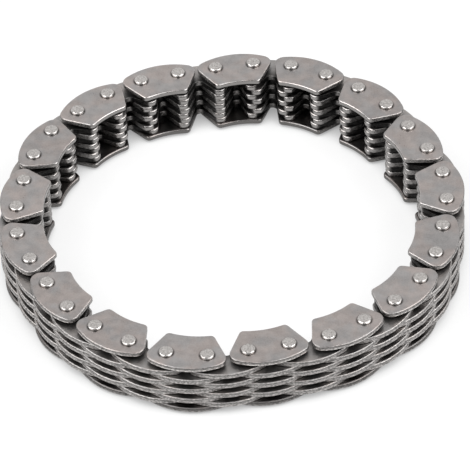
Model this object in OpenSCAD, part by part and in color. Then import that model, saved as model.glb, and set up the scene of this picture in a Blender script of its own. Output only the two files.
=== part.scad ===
// Silent chain: a closed loop of toothed steel plates laced three by four on round pins.
// It lies on its side, teeth inward, with the lower pin ends on z = 0 and the loop's middle on the z axis.
// All lengths are in millimetres.

/* [Loop] */
// Distance from pin to pin along the pitch line
pitch = 6.35; // [6:0.05:8]
// Guide links in the loop, each with an inner link beside it
guide_links = 17; // [14:1:20]
// Where the first guide link sits, in degrees round the loop from +X
first_link = 109; // [0:1:359]

/* [Lay] */
// Slow sway of the links off a true ring, two waves to each half of the loop, in degrees
slow_sway = 2.7; // [0:0.1:4]
// Phase of the slow sway at the first link
slow_phase = 96; // [-180:1:180]
// Middle sway, three waves to each half, in degrees
middle_sway = 2.7; // [0:0.1:4]
// Phase of the middle sway at the first link
middle_phase = 148; // [-180:1:180]
// Quick sway, five waves to each half, in degrees
quick_sway = 3.5; // [0:0.1:4]
// Phase of the quick sway at the first link
quick_phase = -144; // [-180:1:180]

/* [Plate outline] */
// Half of the angle between the two working flanks
flank_angle = 30; // [28:0.5:32]
// Gap between neighbours of one layer where their flanks cross the pitch line on a straight run
flank_gap = 0.35; // [0.3:0.05:1.2]
// Height of the back above the pitch line
back_height = 3.15; // [2.8:0.05:3.5]
// Radius of the crowned back
back_r = 11; // [9:0.5:20]
// Radius of the shoulders between back and flanks
shoulder_r = 1.6; // [1.2:0.1:2.1]

/* [Toothed plates] */
// Thickness of a toothed plate
plate_t = 0.97; // [0.6:0.01:1.6]
// Toothed plates in the inner link, one more than between the guide plates
inner_plates = 4; // [2:1:6]
// Depth of the tooth tips below the pitch line
toe_depth = 4.15; // [3.8:0.05:4.6]
// Width of a tooth tip between its flanks
toe_w = 1.25; // [0.9:0.05:1.5]
// Rounding of the tooth tips
toe_r = 0.4; // [0.15:0.05:0.45]
// Depth of the crotch's round top below the pitch line
crotch_depth = 1; // [0.8:0.05:1.5]
// Radius of the crotch
crotch_r = 0.86; // [0.6:0.02:1.1]

/* [Guide plates] */
// Thickness of a guide plate
guide_t = 0.85; // [0.4:0.05:1.2]
// Depth of a guide plate's inner corners below the pitch line
guide_depth = 4.55; // [4:0.05:4.9]
// How far the inner edge is dished between those corners
guide_dish = 0.5; // [0.2:0.05:0.9]
// Rounding of the inner corners
guide_corner_r = 0.6; // [0.15:0.05:0.9]

/* [Pins] */
// Diameter of a pin
pin_d = 2.25; // [1.6:0.05:2.8]
// How far each pin end stands out of its guide plate
pin_stand = 0.5; // [0.3:0.05:1.2]
// Rounding of the pin ends
pin_edge = 0.2; // [0.1:0.02:0.3]

/* [Fits] */
// Radial running clearance of a pin in the toothed plates
pin_play = 0.05; // [0.02:0.01:0.1]
// Radial gap of a pin in the guide plates, where it is staked
stake_gap = 0.01; // [0.01:0.01:0.04]
// Gap between neighbouring layers
layer_gap = 0.05; // [0.03:0.01:0.1]
// Side play that is left under the upper guide plate when the toothed plates settle on the lower one
side_play = 0.7; // [0.1:0.05:1.2]

/* [Hidden] */
// Farthest that a facet lies from its true arc
arc_sag = 0.01;
// Facets of a full circle
$fn = 64;
steel = [0.66, 0.64, 0.63];
bright_steel = [0.78, 0.76, 0.74];

rows = 2 * guide_links;
pin_r = pin_d / 2;
layer_step = plate_t + layer_gap;
layers = 2 * inner_plates - 1;
lower_guide_z = pin_stand;
first_layer_z = lower_guide_z + guide_t + layer_gap;
upper_guide_z = first_layer_z + layers * layer_step - layer_gap + side_play;
pin_length = upper_guide_z + guide_t + pin_stand;

// The loop: each row is one pitch long, and its sways repeat in the opposite half, so the loop closes
function sway(waves, size, phase, row) = size * cos(360 * waves * row / guide_links + phase);
function heading(row) =
    first_link + 90 + 360 * row / rows
    + sway(2, slow_sway, slow_phase, row)
    + sway(3, middle_sway, middle_phase, row)
    + sway(5, quick_sway, quick_phase, row);
function step_along(row) = pitch * [cos(heading(row)), sin(heading(row))];
walk = [for (row = 0, at = [0, 0]; row < rows; at = at + step_along(row), row = row + 1) at];
loop_middle = (walk[0] + walk[guide_links]) / 2;
function row_middle(row) = walk[row] + step_along(row) / 2 - loop_middle;

// The outline: x runs along the pitch line, y outward to the back
half_pitch = pitch / 2;
flank_reach = (pitch - flank_gap) / 2;
flank_offset = flank_reach * cos(flank_angle);
flank_out = [cos(flank_angle), -sin(flank_angle)];
flank_up = [sin(flank_angle), cos(flank_angle)];
back_centre = [0, back_height - back_r];

function flank_x(y) = half_pitch + flank_reach + y * tan(flank_angle);
// Point that lies inset inside the flank and at the given distance from a centre, above it
function beside_flank(inset, centre, distance) =
    let (
        foot = [half_pitch, 0] + (flank_offset - inset) * flank_out,
        from = foot - centre,
        along = from * flank_up
    )
    foot + (sqrt(along * along - from * from + distance * distance) - along) * flank_up;
function angle_of(v) = atan2(v.y, v.x);
// Points of an arc from one angle to another, as many as its sag allows
function arc(centre, r, from, to) =
    let (facets = ceil(abs(to - from) / (2 * acos(1 - arc_sag / r))))
    [for (i = [0:facets]) let (a = from + (to - from) * i / facets) centre + r * [cos(a), sin(a)]];
function mirrored(points) = [for (i = [len(points) - 2:-1:1]) [-points[i].x, points[i].y]];

shoulder_centre = beside_flank(shoulder_r, back_centre, back_r - shoulder_r);
back_from = angle_of(shoulder_centre - back_centre);
shoulder_and_back = concat(
    arc(shoulder_centre, shoulder_r, -flank_angle, back_from),
    arc(back_centre, back_r, back_from, 90)
);

// The crotch's side runs straight from its round top to the tooth tip
crotch_centre = [0, -crotch_depth - crotch_r];
toe_inner = [flank_x(-toe_depth) - toe_w, -toe_depth];
to_toe = toe_inner - crotch_centre;
crotch_side = angle_of(to_toe) + acos(crotch_r / norm(to_toe));
toe_outer_centre = [flank_x(toe_r - toe_depth) - toe_r / cos(flank_angle), toe_r - toe_depth];
toe_inner_centre = toe_inner + toe_r * [tan(45 - crotch_side / 2), 1];
half_tooth = concat(
    arc(crotch_centre, crotch_r, 90, crotch_side),
    arc(toe_inner_centre, toe_r, 180 + crotch_side, 270),
    arc(toe_outer_centre, toe_r, 270, 360 - flank_angle),
    shoulder_and_back
);

// The guide plate's inner edge is one hollow arc between two rounded corners
guide_half = flank_x(-guide_depth);
dish_r = (guide_half * guide_half + guide_dish * guide_dish) / (2 * guide_dish);
dish_centre = [0, guide_dish - guide_depth - dish_r];
corner_centre = beside_flank(guide_corner_r, dish_centre, dish_r + guide_corner_r);
corner_from = angle_of(corner_centre - dish_centre);
half_guide = concat(
    arc(dish_centre, dish_r, 90, corner_from),
    arc(corner_centre, guide_corner_r, corner_from - 180, -flank_angle),
    shoulder_and_back
);

function two_digits(i) = i < 10 ? str("0", i) : str(i);
function guide_name(i) = str("guide_link_", two_digits(i));
function pins_name(i) = str("pins_", two_digits(i));
function inner_name(i) = str("inner_link_", two_digits(i));

// Sets a row in its place in the loop
module in_row(row) {
    translate(row_middle(row)) rotate(heading(row) + 180) children();
}

// One stamped plate with its two pin holes
module plate(half_outline, thickness, hole_r, z) {
    translate([0, 0, z]) linear_extrude(thickness) difference() {
        polygon(concat(half_outline, mirrored(half_outline)));
        for (side = [-1, 1]) translate([side * half_pitch, 0]) circle(hole_r);
    }
}

module toothed_plate(layer) {
    plate(half_tooth, plate_t, pin_r + pin_play, first_layer_z + layer * layer_step);
}

module guide_plate(z) {
    plate(half_guide, guide_t, pin_r + stake_gap, z);
}

// Two guide plates with the toothed plates of their row between them
module guide_link(i) {
    color(steel) in_row(2 * i - 2) {
        guide_plate(lower_guide_z);
        for (layer = [1:2:layers - 2]) toothed_plate(layer);
        guide_plate(upper_guide_z);
    }
}

// The two pins that are staked in a pair of guide plates
module pins(i) {
    color(bright_steel) in_row(2 * i - 2)
        for (side = [-1, 1]) translate([side * half_pitch, 0]) rotate_extrude() pin_profile();
}

module pin_profile() {
    end = arc([pin_r - pin_edge, pin_edge], pin_edge, -90, 0);
    other_end = [for (i = [len(end) - 1:-1:0]) [end[i].x, pin_length - end[i].y]];
    polygon(concat([[0, 0]], end, other_end, [[0, pin_length]]));
}

// The toothed plates of an inner link, which turn on the pins of the guide links beside it
module inner_link(i) {
    color(steel) in_row(2 * i - 1)
        for (layer = [0:2:layers - 1]) toothed_plate(layer);
}

for (i = [1:guide_links]) {
    guide_link(i);
    pins(i);
    inner_link(i);
}
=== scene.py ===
"""Silent chain: steel plates laced three by four on round pins, in a closed loop that lies on its side."""
import math

import bmesh
import bpy
from mathutils import Matrix, Vector, geometry, noise


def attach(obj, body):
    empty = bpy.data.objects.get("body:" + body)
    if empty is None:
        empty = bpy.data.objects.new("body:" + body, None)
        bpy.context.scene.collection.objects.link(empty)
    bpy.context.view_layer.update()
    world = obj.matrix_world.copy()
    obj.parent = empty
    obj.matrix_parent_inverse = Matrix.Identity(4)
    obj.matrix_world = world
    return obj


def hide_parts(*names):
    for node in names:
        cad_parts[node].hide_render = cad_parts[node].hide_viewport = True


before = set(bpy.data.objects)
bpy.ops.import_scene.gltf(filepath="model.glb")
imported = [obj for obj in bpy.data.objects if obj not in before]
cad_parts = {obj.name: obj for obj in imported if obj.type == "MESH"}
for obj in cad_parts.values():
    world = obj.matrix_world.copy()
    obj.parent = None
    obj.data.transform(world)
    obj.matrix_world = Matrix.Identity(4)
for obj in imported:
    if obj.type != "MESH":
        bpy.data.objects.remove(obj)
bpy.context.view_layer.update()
links = range(1, 1 + sum(name.startswith("inner_link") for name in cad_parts))

# Toothed plates: fine-blanked from spring steel strip, four in each inner row and three in each guide row.
# The punch rolls the upper rim over, leaves a burnished band and then a rougher torn one, and tumbling
# rounds what is left. They hang loose on the pins, with nothing else to fix them.
MM = 0.001
WELD = 0.001
FACES_UP = 0.9999


def loops_along(edges):
    """The closed loops of points that a set of edges makes."""
    loops = []
    while edges:
        first = min(edges, key=lambda edge: edge.index)
        edges.remove(first)
        loop = list(first.verts)
        while loop[-1] is not loop[0]:
            step = next(edge for edge in loop[-1].link_edges if edge in edges)
            edges.remove(step)
            loop.append(step.other_vert(loop[-1]))
        loops.append([vert.co.xy / MM for vert in loop[1:]])
    return loops


def solids_of(node):
    """Each solid of a node, lowest first: its two levels and the loops round its top, widest first."""
    cad = bmesh.new()
    cad.from_mesh(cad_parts[node].data)
    bmesh.ops.remove_doubles(cad, verts=cad.verts, dist=WELD * MM)
    cad.verts.index_update()
    cad.edges.index_update()
    waiting = set(cad.verts)
    solids = []
    while waiting:
        front = {min(waiting, key=lambda vert: vert.index)}
        solid = set(front)
        while front:
            front = {edge.other_vert(vert) for vert in front for edge in vert.link_edges} - solid
            solid |= front
        waiting -= solid
        levels = [vert.co.z / MM for vert in solid]
        edges = {edge for vert in solid for edge in vert.link_edges}
        rim = {edge for edge in edges if sum(face.normal.z > FACES_UP for face in edge.link_faces) == 1}
        loops = sorted(loops_along(rim), key=lambda loop: -max((p - loop[0]).length for p in loop))
        solids.append((min(levels), max(levels), loops))
    cad.free()
    return sorted(solids, key=lambda solid: solid[0])


def turned(loop, outside):
    """The loop run with the metal on its left: the outside runs one way round and a hole the other."""
    area = sum(a.cross(b) for a, b in zip(loop, loop[1:] + loop[:1]))
    return loop if (area > 0) == outside else loop[::-1]


def softened(loop, shares):
    """The loop with each point drawn halfway to its neighbours, by its share."""
    return [
        point.lerp((loop[i - 1] + 2 * point + loop[(i + 1) % len(loop)]) / 4, share)
        for i, (point, share) in enumerate(zip(loop, shares))
    ]


POINT_SPACING = 0.2
FACET_PASSES = 2


def eased(loop):
    """The loop with points added on its straights, and with the corners of its facets softened."""
    points = []
    for here, there in zip(loop, loop[1:] + loop[:1]):
        parts = math.ceil((there - here).length / POINT_SPACING)
        points += [here.lerp(there, part / parts) for part in range(parts)]
    for _ in range(FACET_PASSES):
        points = softened(points, [1] * len(points))
    return points


def into_metal(loop):
    """At each point of a loop, the direction into the metal on its left."""
    ways = []
    for i in range(len(loop)):
        along = (loop[(i + 1) % len(loop)] - loop[i - 1]).normalized()
        ways.append(Vector((-along.y, along.x)))
    return ways


def middle(points):
    """The mean of some points."""
    return sum(points, Vector((0, 0))) / len(points)


def fill_face(mesh, rings):
    """Fills a flat face: the first ring runs round its outside and the others round its holes."""
    verts = [vert for ring in rings for vert in ring]
    spots = [vert.co.xy / MM for vert in verts]
    sides = []
    for ring in rings:
        first = len(sides)
        sides += [(first + i, first + (i + 1) % len(ring)) for i in range(len(ring))]
    holes = []
    for ring in rings[1:]:
        centre = middle([vert.co.xy / MM for vert in ring])
        holes.append((centre, (ring[0].co.xy / MM - centre).length))
    inside_only, tolerance = 1, 1e-6
    spots, _, triangles = geometry.delaunay_2d_cdt(spots, sides, [], inside_only, tolerance)[:3]
    verts += [mesh.verts.new((spot.x * MM, spot.y * MM, verts[0].co.z)) for spot in spots[len(verts):]]
    for corners in triangles:
        inside = middle([spots[i] for i in corners])
        if all((inside - centre).length > radius for centre, radius in holes):
            mesh.faces.new([verts[i] for i in corners])


def ramp(value, low, high):
    """0 below low, 1 above high, and straight between them."""
    return min(max((value - low) / (high - low), 0), 1)


# Where a cut edge becomes tip, crotch, nose or flank: millimetres below the pitch line or aside of the
# plate's middle, and how squarely the edge faces the middle of the loop, from 1 to -1 on the back
TIP_DEPTH = (3.5, 3.85)
TIP_FACING = (0.55, 0.9)
CROTCH_DEPTH = (0.4, 0.9)
CROTCH_REACH = (2.5, 2.8)
CROTCH_TOP = (0.7, 0.95)
NOSE_DEPTH = (3.0, 3.7)
NOSE_REACH = (3.0, 3.3)
FLANK_FACING = (-0.6, 0.1)


def edge_zones(below, aside, facing):
    """How far a point of a cut edge is tip, crotch wall, outer nose and ground flank, each from 0 to 1."""
    tip = ramp(below, *TIP_DEPTH) * ramp(facing, *TIP_FACING)
    crotch = ramp(below, *CROTCH_DEPTH) * (1 - ramp(aside, *CROTCH_REACH)) * (1 - ramp(facing, *CROTCH_TOP))
    nose = ramp(below, *NOSE_DEPTH) * ramp(aside, *NOSE_REACH)
    flank = ramp(facing, *FLANK_FACING) * (1 - tip)
    return tip, crotch, nose, flank


HOLE_RIM = 0.07
COLLAR = (0.1, 0.35)


def hole_edge(thickness, wear):
    """A punched hole, from the upper face down: straight through, with hardly a rim."""
    rim = HOLE_RIM * wear
    inner, outer = COLLAR
    return [
        (outer, thickness), (inner, thickness), (rim, thickness), (0, thickness - rim),
        (0, rim), (rim, 0), (inner, 0),
    ]


TIP_PASSES = 7
TIP_SOFTENING = (3.6, 3.85)
STRAYS_PER_MM = 2.6
NOSE_SHINE = 0.6
EDGE_MARKS = ("level", "depth", "tip", "crotch", "collar")


def add_stamped_plate(mesh, solid, edge, wander, tip_wear, flank_rim):
    """Adds one plate: each loop swept through the edge's (inset, height) pairs, and the flat faces filled.

    wander is how far the cut strays, tip_wear how much rounder the rims are at the tips of the teeth, and
    flank_rim what is left of the rims on the flanks, which are ground to size. Each point gets the marks
    that its steel is shaded by."""
    low, high, loops = solid
    thickness = high - low
    layers = mesh.verts.layers.float
    level, depth, tip, crotch, collar = (layers.get(mark) or layers.new(mark) for mark in EDGE_MARKS)
    pins = [middle(hole) for hole in loops[1:]]
    centre = middle(pins)
    pitch_line = (pins[1] - pins[0]).normalized()
    outward = Vector((-pitch_line.y, pitch_line.x))
    if outward.dot(centre) < 0:
        outward.negate()
    caps = ([], [])
    for number, loop in enumerate(loops):
        is_hole = number > 0
        loop = eased(turned(loop, not is_hole))
        for _ in range(TIP_PASSES if tip_wear else 0):
            loop = softened(loop, [ramp(outward.dot(centre - point), *TIP_SOFTENING) for point in loop])
        columns = []
        for point, way in zip(loop, into_metal(loop)):
            below = outward.dot(centre - point)
            aside = abs(pitch_line.dot(point - centre))
            at_tip, in_crotch, on_nose, on_flank = edge_zones(below, aside, way.dot(outward))
            wear = 1 if is_hole else (1 + tip_wear * at_tip) * (1 - (1 - flank_rim) * on_flank)
            column = []
            for inset, height in (hole_edge if is_hole else edge)(thickness, wear):
                spot = Vector((point.x, point.y, low + height))
                stray = wander * noise.noise(spot * STRAYS_PER_MM) if 0 < height < thickness else 0
                place = point + way * (inset + stray * (1 - at_tip))
                vert = mesh.verts.new((place.x * MM, place.y * MM, spot.z * MM))
                vert[level] = height / thickness
                vert[depth] = below
                vert[tip] = max(at_tip, NOSE_SHINE * on_nose)
                vert[crotch] = in_crotch
                # The collar mark, near 1 at the rim of a hole, carries the painted shadow round the pin
                vert[collar] = 1 - ramp(inset, *COLLAR) if is_hole else 0
                column.append(vert)
            columns.append(column)
        for before, here in zip(columns[-1:] + columns, columns):
            for step in range(len(here) - 1):
                mesh.faces.new((before[step], before[step + 1], here[step + 1], here[step]))
        caps[0].append([column[0] for column in columns])
        caps[1].append([column[-1] for column in columns])
    for cap in caps:
        fill_face(mesh, cap)


def finished(name, mesh, material, body, node):
    """Makes the piece from its mesh, shades it smooth and sets it in the place of its node."""
    bmesh.ops.recalc_face_normals(mesh, faces=mesh.faces)
    data = bpy.data.meshes.new(name)
    mesh.to_mesh(data)
    mesh.free()
    data.shade_smooth()
    data.materials.append(material)
    piece = bpy.data.objects.new(name, data)
    bpy.context.scene.collection.objects.link(piece)
    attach(piece, body)
    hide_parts(node)


class Socket:
    """An output of a shader node. Arithmetic with it adds Math nodes, and node() adds any other node."""

    def __init__(self, tree, output=None):
        self.tree = tree
        self.output = output

    def node(self, kind, settings, inputs, result=None):
        """Adds a node with its settings and its inputs, by identifier, and wraps the output asked for."""
        made = self.tree.nodes.new("ShaderNode" + kind)
        for setting, value in settings.items():
            setattr(made, setting, value)
        for identifier, value in inputs.items():
            entry = next(entry for entry in made.inputs if entry.identifier == identifier)
            if isinstance(value, Socket):
                self.tree.links.new(value.output, entry)
            else:
                entry.default_value = value
        shown = [output for output in made.outputs if output.identifier == result or result is None]
        return Socket(self.tree, shown[0] if shown else None)

    def math(self, operation, a, b):
        """Adds a Math node on two values."""
        return self.node("Math", {"operation": operation}, {"Value": a, "Value_001": b})

    def __add__(self, other):
        return self.math("ADD", self, other)

    def __radd__(self, other):
        return self.math("ADD", other, self)

    def __sub__(self, other):
        return self.math("SUBTRACT", self, other)

    def __rsub__(self, other):
        return self.math("SUBTRACT", other, self)

    def __mul__(self, other):
        return self.math("MULTIPLY", self, other)

    def __rmul__(self, other):
        return self.math("MULTIPLY", other, self)

    def __abs__(self):
        return self.node("Math", {"operation": "ABSOLUTE"}, {"Value": self})

    def z(self):
        """The upright share of this vector."""
        return self.node("SeparateXYZ", {}, {"Vector": self}, "Z")

    def between(self, low, high):
        """Rises smoothly from 0 to 1 as this value goes from low to high."""
        span = {"Value": self, "From Min": low, "From Max": high}
        return self.node("MapRange", {"interpolation_type": "SMOOTHSTEP"}, span)

    def blend(self, a, b):
        """Colour a where this value is 0, and b where it is 1."""
        colours = {"Factor_Float": self, "A_Color": a, "B_Color": b}
        return self.node("Mix", {"data_type": "RGBA"}, colours, "Result_Color")

    def shades(self, colour):
        """That colour made darker or lighter by this value."""
        colours = {"Factor_Float": 1.0, "A_Color": colour, "B_Color": self}
        return self.node("Mix", {"data_type": "RGBA", "blend_type": "MULTIPLY"}, colours, "Result_Color")

    def grain(self, size, detail, stretch=(1, 1, 1)):
        """Noise with features about so many millimetres across, longer where stretch is over 1."""
        at = self.node("TexCoord", {}, {}, "Object")
        per_metre = [1 / (size * MM * share) for share in stretch]
        scaled = self.node("VectorMath", {"operation": "MULTIPLY"}, {"Vector": at, "Vector_001": per_metre})
        return self.node("TexNoise", {}, {"Vector": scaled, "Scale": 1.0, "Detail": detail}, "Fac")


def new_material(name):
    """A new material with an empty tree, and the wrapper that adds nodes to it."""
    material = bpy.data.materials.new(name)
    material.use_nodes = True
    material.node_tree.nodes.clear()
    return material, Socket(material.node_tree)


RELIEF_DEPTH = 0.012


def metal_surface(shade, colour, roughness, relief):
    """Ends a steel's tree: bare metal of that colour and roughness, with fine relief."""
    bump = shade.node("Bump", {}, {"Strength": 1.0, "Distance": RELIEF_DEPTH * MM, "Height": relief})
    sockets = {"Base Color": colour, "Metallic": 1.0, "Roughness": roughness, "Normal": bump}
    surface = shade.node("BsdfPrincipled", {}, sockets)
    shade.node("OutputMaterial", {}, {"Surface": surface})


RECESS_WIDTH = 3.2


def unshaded_by_recess(shade):
    """Near 0 in a recess a few millimetres wide and 1 in the open: the mask for painted shade in recesses.
    """
    air = shade.node("AmbientOcclusion", {"samples": 8}, {"Distance": RECESS_WIDTH * MM}, "AO")
    return air.between(0.08, 0.62)


def plate_steel(name, warm, cool, edge_colour, face_roughness, edge_roughness, tooth_side_shade, edge_highlight, low_shade):
    """Tumbled strip steel: satin faces clouded brown and blue, speckled stamped edges, and painted light.

    It reads the marks that a stamped plate carries: level, from 0 at its lower face to 1 at its upper one,
    depth below the pitch line, tip, crotch and collar. The tooth-side argument is how far painted shade
    darkens the flanks and the crotch, leaving out only the tips of the teeth, the highlight argument how
    bright the painted highlights are at the foot of the edge and on the rims, and the low-shade argument
    how dark the painted shade on the lowest plates is."""
    material, shade = new_material(name)
    level, depth, tip, crotch, collar = (
        shade.node("Attribute", {"attribute_name": mark}, {}, "Fac") for mark in EDGE_MARKS
    )
    flatness = abs(shade.node("NewGeometry", {}, {}, "Normal").z())
    stamped = 1 - flatness.between(0.35, 0.85)
    rim = flatness.between(0.1, 0.4) * (1 - flatness.between(0.8, 0.98)) * level.between(0.6, 0.75)
    on_back = 1 - depth.between(-1, 1)
    below_pins = depth.between(-0.4, 1.2)
    unshaded_share = unshaded_by_recess(shade)
    # Rises to 1 clear of the table; below it the lowest plates take painted shade
    clear_of_floor = shade.node("TexCoord", {}, {}, "Object").z().between(1.5 * MM, 3 * MM)

    # Faces: clouds of heat colour, specks and smears from tumbling, and a tone for each batch
    clouds = shade.grain(size=3.1, detail=3.0).between(0.35, 0.65)
    specks = shade.grain(size=0.24, detail=3.0).between(0.25, 0.75)
    smears = shade.grain(size=1.7, detail=3.0).between(0.32, 0.68)
    batch = shade.node("ObjectInfo", {}, {}, "Random")
    face = (0.8 + 0.14 * specks + 0.16 * smears + 0.1 * batch).shades(clouds.blend(cool, warm))

    # Cut edges: torn grain that is rubbed away at the tips, a painted dark reflection line above and a
    # painted highlight at the foot below
    tears = shade.grain(size=0.24, detail=2.0, stretch=(1.5, 1.5, 0.8)).between(0.32, 0.68)
    dark_line = level.between(0.62, 0.7) * (1 - level.between(0.74, 0.82)) * (0.2 + 0.6 * tears) * on_back
    foot_highlight = level.between(0.06, 0.14) * (1 - level.between(0.26, 0.36)) * (0.3 + 0.7 * edge_highlight) * on_back
    speckle = (0.42 + 1.0 * tears) * (1 - tip) + 0.8 * tip
    edge = (speckle * (1 - dark_line) * (1 + foot_highlight)).shades(edge_colour)

    # Painted light: shade in recesses and seams, round pins, on the tooth side and low down; rim highlights
    # Painted shade on the flanks and crotch walls below the pins; the tips are left out
    tooth_edge_shade = 1 - (stamped + rim) * (0.4 - 0.82 * crotch)
    tooth_shade = below_pins * (1 - tip) * tooth_side_shade * tooth_edge_shade
    # Painted shade between the stacked plates at the foot of the tooth-side edges, and round each pin hole
    seam_shade = (1 - level.between(0.03, 0.22)) * stamped * below_pins * tooth_side_shade
    ring_and_seam_shade = collar.between(0, 1) * (0.35 + 0.25 * specks) + seam_shade
    # Painted shade in recesses, stronger on the faces than on the cut edges
    recess_shade = (1 - unshaded_share) * (0.7 - 0.2 * stamped)
    # Painted highlight on rims in the open; on the backs of guide plates the rims are darkened instead
    rim_highlight = rim * unshaded_share * (0.1 + 0.2 * tears + edge_highlight * (0.15 - 0.45 * on_back))
    # All the painted light meets here and scales the steel's own colour
    painted_light = (1 - recess_shade) * (1 - ring_and_seam_shade) * (1 - tooth_shade) * (1 + rim_highlight) * (1 - low_shade * (1 - clear_of_floor))
    shaded_colour = painted_light.shades(stamped.blend(face, edge))

    edge_finish = edge_roughness - face_roughness + 0.12 * tears - 0.33 * tip
    face_finish = face_roughness + 0.06 * specks + 0.08 * smears
    roughness = face_finish + stamped * edge_finish + 0.1 * rim * (1 - tip)
    relief = 0.4 * specks + stamped * (1 - tip) * (1 - rim) * tears * 3
    metal_surface(shade, shaded_colour, roughness, relief)
    return material


RIM_SPREAD = 0.7
BURNISHED_SHARE = 0.45
BAND_STEP = 0.05
TORN_INSET = 0.025


def toothed_edge(thickness, wear):
    """From the upper face down: rolled rim, burnished band, torn band set back a little, soft lower rim.

    upper holds (inset, drop) pairs from the upper face, and lower (inset, rise) pairs from the lower one."""
    wide, tall = wear ** RIM_SPREAD, wear
    soft = (1 + wear) / 2
    upper = [(0.2, 0), (0.17, 0), (0.11, 0.014), (0.06, 0.045), (0.025, 0.09), (0.005, 0.14), (0, 0.18)]
    lower = [(0, 0.14), (0.02, 0.07), (0.055, 0.02), (0.105, 0), (0.145, 0)]
    burnished = BURNISHED_SHARE * thickness
    return (
        [(inset * wide, thickness - drop * tall) for inset, drop in upper]
        + [(0, burnished + BAND_STEP), (TORN_INSET, burnished - BAND_STEP)]
        + [(TORN_INSET + inset * soft, rise * soft) for inset, rise in lower]
    )


toothed_steel = plate_steel(
    "toothed_plate_steel",
    warm=(0.36, 0.335, 0.32, 1), cool=(0.325, 0.315, 0.31, 1), edge_colour=(0.35, 0.336, 0.327, 1),
    face_roughness=0.34, edge_roughness=0.36, tooth_side_shade=0.65, edge_highlight=0, low_shade=0,
)
for link in links:
    for row, node in (("inner_row", f"inner_link_{link:02d}"), ("guide_row", f"guide_link_{link:02d}")):
        stack = solids_of(node)
        toothed = stack if row == "inner_row" else stack[1:-1]
        plates = bmesh.new()
        for solid in toothed:
            add_stamped_plate(plates, solid, toothed_edge, wander=0.02, tip_wear=1.3, flank_rim=0.4)
        name = f"{row}_toothed_plates_{link:02d}"
        finished(name, plates, toothed_steel, f"{row}_{link:02d}", node)

# Guide plates: thinner strip of the same steel, one above and one below each guide row.
# They have no teeth. Their hollow inner edge clears the sprocket, and their holes are pressed on the pins.


def guide_edge(thickness, wear):
    """From the upper face down: a rolled rim, a straight band, and a soft lower rim, in the same pairs."""
    upper = [(0.36, 0), (0.3, 0.002), (0.22, 0.014), (0.14, 0.042), (0.075, 0.085), (0.025, 0.14), (0, 0.2)]
    lower = [(0, 0.16), (0.012, 0.09), (0.05, 0.03), (0.1, 0.004), (0.14, 0), (0.18, 0)]
    return (
        [(inset * wear, thickness - drop * wear) for inset, drop in upper]
        + [(inset * wear, rise * wear) for inset, rise in lower]
    )


guide_steel = plate_steel(
    "guide_plate_steel",
    warm=(0.366, 0.327, 0.311, 1), cool=(0.327, 0.314, 0.31, 1), edge_colour=(0.315, 0.302, 0.293, 1),
    face_roughness=0.27, edge_roughness=0.34, tooth_side_shade=0, edge_highlight=1.0, low_shade=0.45,
)
for link in links:
    node = f"guide_link_{link:02d}"
    stack = solids_of(node)
    plates = bmesh.new()
    for solid in (stack[0], stack[-1]):
        add_stamped_plate(plates, solid, guide_edge, wander=0.008, tip_wear=0, flank_rim=0.85)
    finished(f"guide_plates_{link:02d}", plates, guide_steel, f"guide_row_{link:02d}", node)

# Pins: hard drawn rod, cropped to length, two staked in each pair of guide plates.
# Staking leaves the ends uneven round their soft rims, and tumbling leaves them bright and lightly pebbled.
PIN_SIDES = 48
END_RINGS = 6
RIM_FALL = 0.28
RIM_STEP = 15
HAMMERED = 0.2
DENTS_PER_MM = 1.6


def add_pin(mesh, centre, radius, rim, low, high):
    """Adds one pin: its hammered ends in rings, its rims rounded, its side straight."""
    profile = [(share * (radius - rim) / END_RINGS, low) for share in range(1, END_RINGS)]
    profile += [
        (radius - rim + rim * math.sin(turn), low + RIM_FALL * (1 - math.cos(turn)))
        for turn in (math.radians(angle) for angle in range(0, 91, RIM_STEP))
    ]
    profile += [(r, low + high - z) for r, z in reversed(profile)]
    rings = []
    for r, z in profile:
        into_pin = 1 if 2 * z < low + high else -1
        near_end = 1 - ramp(min(z - low, high - z), 0, RIM_FALL)
        ring = []
        for side in range(PIN_SIDES):
            angle = math.tau * side / PIN_SIDES
            spot = Vector((centre.x + r * math.cos(angle), centre.y + r * math.sin(angle), z))
            dent = 0.5 + 0.5 * noise.noise(spot * DENTS_PER_MM)
            spot.z += into_pin * HAMMERED * dent * near_end * (r / radius) ** 2
            ring.append(mesh.verts.new(spot * MM))
        rings.append(ring)
    for lower, upper in zip(rings, rings[1:]):
        for i in range(PIN_SIDES):
            mesh.faces.new((lower[i - 1], lower[i], upper[i], upper[i - 1]))
    for ring in (rings[0], rings[-1]):
        mesh.faces.new(ring)


PIN_SIDE_TONE = (0.6, 0.58, 0.565, 1)
PIN_END_DARK = (0.31, 0.292, 0.278, 1)
PIN_END_BRIGHT = (0.58, 0.556, 0.538, 1)
pin_steel, shade = new_material("pin_steel")
end = abs(shade.node("NewGeometry", {}, {}, "Normal").z()).between(0.5, 0.95)
pebbles = shade.grain(size=0.3, detail=2.0).between(0.25, 0.75)
drawn = shade.grain(size=0.12, detail=2.0, stretch=(1, 1, 9))
pin_tone = end.blend(PIN_SIDE_TONE, (0.1 + 0.9 * pebbles).blend(PIN_END_DARK, PIN_END_BRIGHT))
# Painted shade on the pins in recesses, darkest at their feet
pin_shade = 0.2 + 0.8 * unshaded_by_recess(shade)
pin_roughness = 0.12 + 0.06 * drawn + end * (0.12 + 0.12 * pebbles)
metal_surface(shade, pin_shade.shades(pin_tone), pin_roughness, end * pebbles * 2.5 + drawn * 0.3)
for link in links:
    node = f"pins_{link:02d}"
    pins = bmesh.new()
    for low, high, loops in solids_of(node):
        centre = middle(loops[0])
        flat = (loops[0][0] - centre).length
        reaches = [(vert.co.xy / MM - centre).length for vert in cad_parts[node].data.vertices]
        radius = max(reach for reach in reaches if reach < 2 * flat)
        add_pin(pins, centre, radius, radius - flat, low, high)
    finished(f"pins_{link:02d}_staked", pins, pin_steel, f"guide_row_{link:02d}", node)

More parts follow.
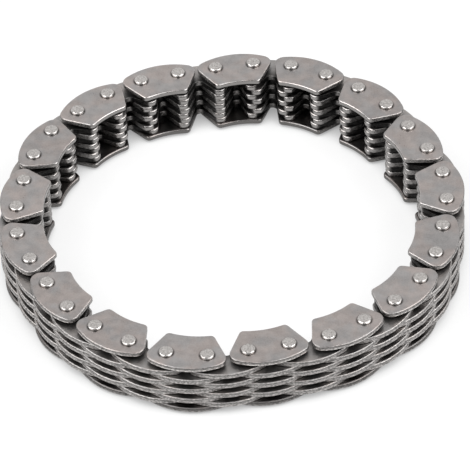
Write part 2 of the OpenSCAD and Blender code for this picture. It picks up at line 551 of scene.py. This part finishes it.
# Studio: a table of white paper before a bright backdrop, in a room that is dim elsewhere.
# A little painted contact shadow lies on the paper round the chain, and a large softbox stands on each side.
FLOOR_HALF = 3.0
WHITE = (1, 1, 1, 1)
PAPER = (0.93, 0.93, 0.93, 1)
PAPER_GLOW = 0.75
CONTACT_REACH = 4


def ray(shade, kind):
    """1 on a ray of that kind, and 0 on any other."""
    return shade.node("LightPath", {}, {}, f"Is {kind} Ray")


def seen(shade):
    """1 where a surface is seen, straight, reflected or through glass, and 0 where it only gives light."""
    return ray(shade, "Camera") + ray(shade, "Glossy") + ray(shade, "Transmission")


floor_mesh = bpy.data.meshes.new("table")
corners = [(x * FLOOR_HALF, y * FLOOR_HALF, 0) for x, y in ((-1, -1), (1, -1), (1, 1), (-1, 1))]
floor_mesh.from_pydata(corners, [], [(0, 1, 2, 3)])
table_top = bpy.data.objects.new("table", floor_mesh)
bpy.context.scene.collection.objects.link(table_top)
table_white, shade = new_material("table_white")
paper = shade.node("BsdfDiffuse", {}, {"Color": PAPER})
# Painted contact shadow: the paper's glow dims where the chain is close
air = shade.node("AmbientOcclusion", {"samples": 16}, {"Distance": CONTACT_REACH * MM}, "AO")
contact_shadow = air.between(0, 0.8)
glow = shade.node("Emission", {}, {"Color": (0.4 + 0.6 * contact_shadow).shades(WHITE), "Strength": 1.0})
mixed = shade.node("MixShader", {}, {"Fac": seen(shade) * PAPER_GLOW, "Shader": paper, "Shader_001": glow})
shade.node("OutputMaterial", {}, {"Surface": mixed})
floor_mesh.materials.append(table_white)

FILL = 0.4
ROOM = 0.33
BACKDROP_WAY = (0, 0.87, 0.5)
world = bpy.data.worlds.new("studio")
bpy.context.scene.world = world
world.use_nodes = True
world.node_tree.nodes.clear()
shade = Socket(world.node_tree)
fill = shade.node("Background", {}, {"Color": WHITE, "Strength": FILL})
towards = shade.node("TexCoord", {}, {}, "Generated")
ways = {"Vector": towards, "Vector_001": BACKDROP_WAY}
facing = shade.node("VectorMath", {"operation": "DOT_PRODUCT"}, ways, "Value")
dim = (1 - facing.between(0.35, 0.8)) * ray(shade, "Glossy")
backdrop = shade.node("Background", {}, {"Color": (1 - (1 - ROOM) * dim).shades(WHITE), "Strength": 1.0})
mixed = shade.node("MixShader", {}, {"Fac": seen(shade), "Shader": fill, "Shader_001": backdrop})
shade.node("OutputWorld", {}, {"Surface": mixed})

SOFTBOX_WIDTH = 1.0
SOFTBOX_HEIGHT = 0.8
SOFTBOX_WATTS = 10
SOFTBOX_DISTANCE = 1.0
SOFTBOX_LIFT = math.radians(43)
SOFTBOX_TURN = math.radians(66)
for name, side in (("left_side", -1), ("right_side", 1)):
    light = bpy.data.lights.new(name, "AREA")
    light.shape = "RECTANGLE"
    light.size = SOFTBOX_WIDTH
    light.size_y = SOFTBOX_HEIGHT
    light.energy = SOFTBOX_WATTS
    lamp = bpy.data.objects.new(name, light)
    bpy.context.scene.collection.objects.link(lamp)
    across = side * math.sin(SOFTBOX_TURN) * math.cos(SOFTBOX_LIFT)
    forward = -math.cos(SOFTBOX_TURN) * math.cos(SOFTBOX_LIFT)
    away = Vector((across, forward, math.sin(SOFTBOX_LIFT)))
    lamp.location = away * SOFTBOX_DISTANCE
    lamp.rotation_euler = away.to_track_quat("Z", "Y").to_euler()

# Camera: a long lens from the front, lifted well above the chain and rolled a little.
# The focal length is in pixels of the square picture, the distance and the aim in millimetres.
PICTURE = 470
FOCAL_LENGTH = 3556
SENSOR = 36.0
CAMERA_LIFT = math.radians(42.69)
CAMERA_ROLL = math.radians(2.66)
CAMERA_TURN = math.radians(0.16)
CAMERA_DISTANCE = 569.7
AIM = Vector((0.376, -2.13, 5.0))
camera_data = bpy.data.cameras.new("camera")
camera_data.sensor_width = SENSOR
camera_data.lens = SENSOR * FOCAL_LENGTH / PICTURE
camera = bpy.data.objects.new("camera", camera_data)
bpy.context.scene.collection.objects.link(camera)
bpy.context.scene.camera = camera
level_right = Vector((1, 0, 0))
level_up = Vector((0, math.sin(CAMERA_LIFT), math.cos(CAMERA_LIFT)))
back = Vector((0, -math.cos(CAMERA_LIFT), math.sin(CAMERA_LIFT)))
right = math.cos(CAMERA_ROLL) * level_right - math.sin(CAMERA_ROLL) * level_up
axes = Matrix((right, back.cross(right), back)).transposed()
turned_round = Matrix.Rotation(CAMERA_TURN, 3, "Z")
stand = AIM + turned_round @ back * CAMERA_DISTANCE
camera.matrix_world = Matrix.LocRotScale(stand * MM, turned_round @ axes, None)

bpy.context.scene.view_settings.view_transform = "Standard"
